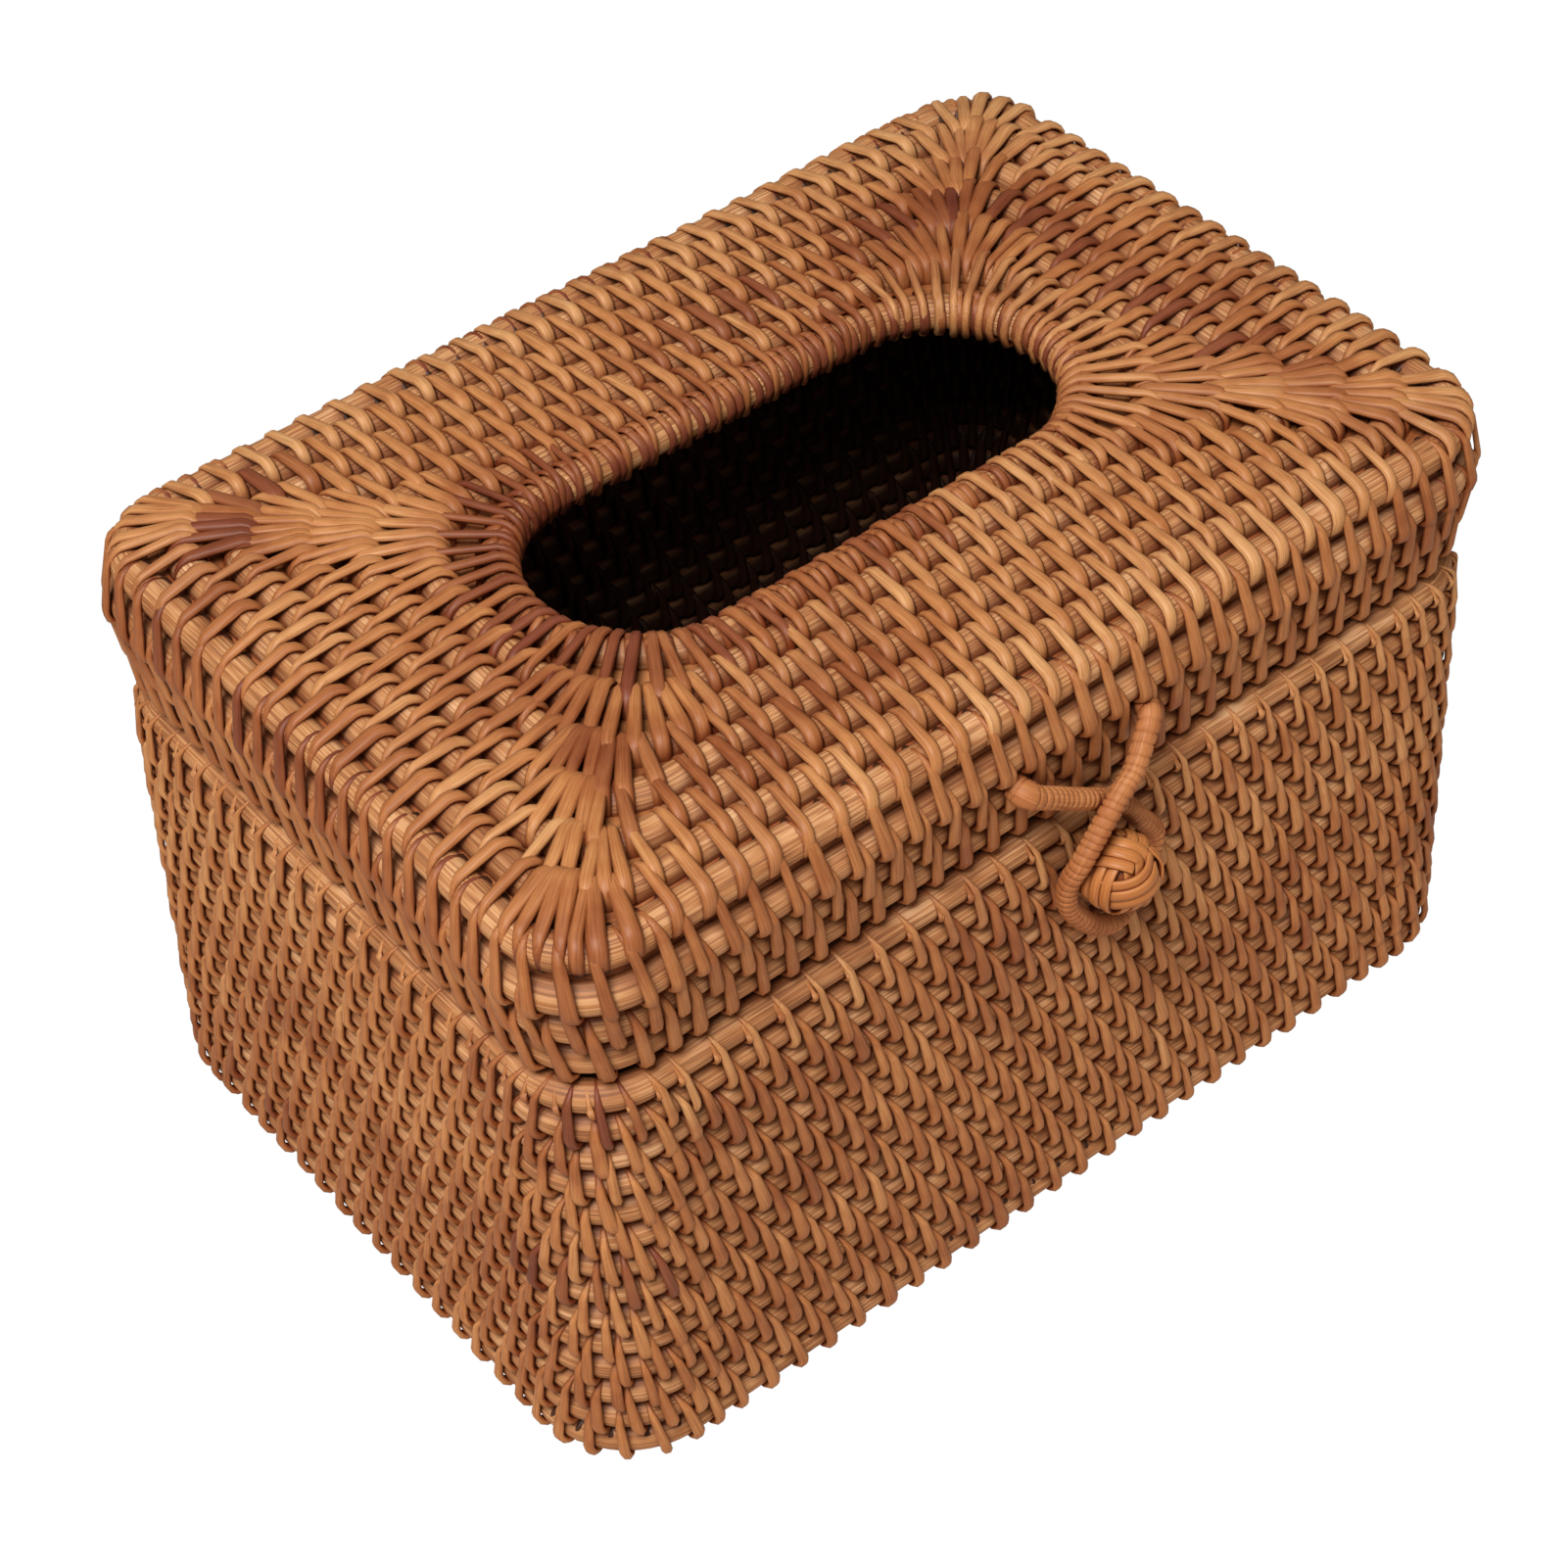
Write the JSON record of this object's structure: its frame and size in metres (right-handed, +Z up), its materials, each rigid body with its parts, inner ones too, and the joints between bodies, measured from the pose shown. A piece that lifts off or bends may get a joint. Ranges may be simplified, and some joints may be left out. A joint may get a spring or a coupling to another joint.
{
  "type": "lidded woven cane tissue box cover",
  "caption": "Rectangular lashed-cane tissue box with flared coiled walls, a hinged lid with an oval dispensing slot, and a loop that hooks over a woven ball knot.",
  "frame": {"origin": "centre of the underside, on the plane that the box stands on", "axes": "+X along the long side, to the right seen from the closure side; -Y out of the side with the loop and knot; +Z up"},
  "size_m": [0.253, 0.1893, 0.1535],
  "materials": {
    "core_cane": "matte",
    "lashing_cane": "satin",
    "tie_cane": "satin",
    "loop_cane": "satin",
    "knot_cane": "satin"
  },
  "bodies": {
    "base": {"base_coil_01": "core_cane", "base_coil_02": "core_cane", "base_coil_03": "core_cane", "base_coil_04": "core_cane", "base_coil_05": "core_cane", "base_coil_06": "core_cane", "base_coil_07": "core_cane", "base_coil_08": "core_cane", "base_coil_09": "core_cane", "base_coil_10": "core_cane", "base_coil_11": "core_cane", "base_coil_12": "core_cane", "base_coil_13": "core_cane", "base_coil_14": "core_cane", "bottom_coil_1": "core_cane", "bottom_coil_2": "core_cane", "bottom_coil_3": "core_cane", "bottom_coil_4": "core_cane", "bottom_coil_5": "core_cane", "bottom_coil_6": "core_cane", "bottom_coil_7": "core_cane", "bottom_coil_8": "core_cane", "bottom_coil_9": "core_cane", "bottom_core_cane": "core_cane", "bottom_lashing": "lashing_cane", "wall_lashing": "lashing_cane", "knot_tie": "tie_cane", "knot_ball": "knot_cane"},
    "lid": {"lid_side_coil_1": "core_cane", "lid_side_coil_2": "core_cane", "lid_side_coil_3": "core_cane", "lid_corner_coil": "core_cane", "lid_top_coil_1": "core_cane", "lid_top_coil_2": "core_cane", "lid_top_coil_3": "core_cane", "lid_top_coil_4": "core_cane", "lid_top_coil_5": "core_cane", "lid_top_coil_6": "core_cane", "lid_lashing": "lashing_cane", "hinge_tie_left": "tie_cane", "hinge_tie_right": "tie_cane"},
    "loop": {"closure_loop": "loop_cane"}
  },
  "joints": [
    {"name": "lid_hinge", "type": "hinge", "parent": "base", "child": "lid", "pos_m": [0, 0.07985, 0.10841], "axis": [-1, 0, 0], "range_deg": [0, 110], "deforming": ["closure_loop"]},
    {"name": "loop_swing", "type": "hinge", "parent": "lid", "child": "loop", "pos_m": [0.0022, -0.08334, 0.13173], "axis": [-1, 0, 0], "range_deg": [0, 95], "deforming": ["closure_loop"]}
  ]
}
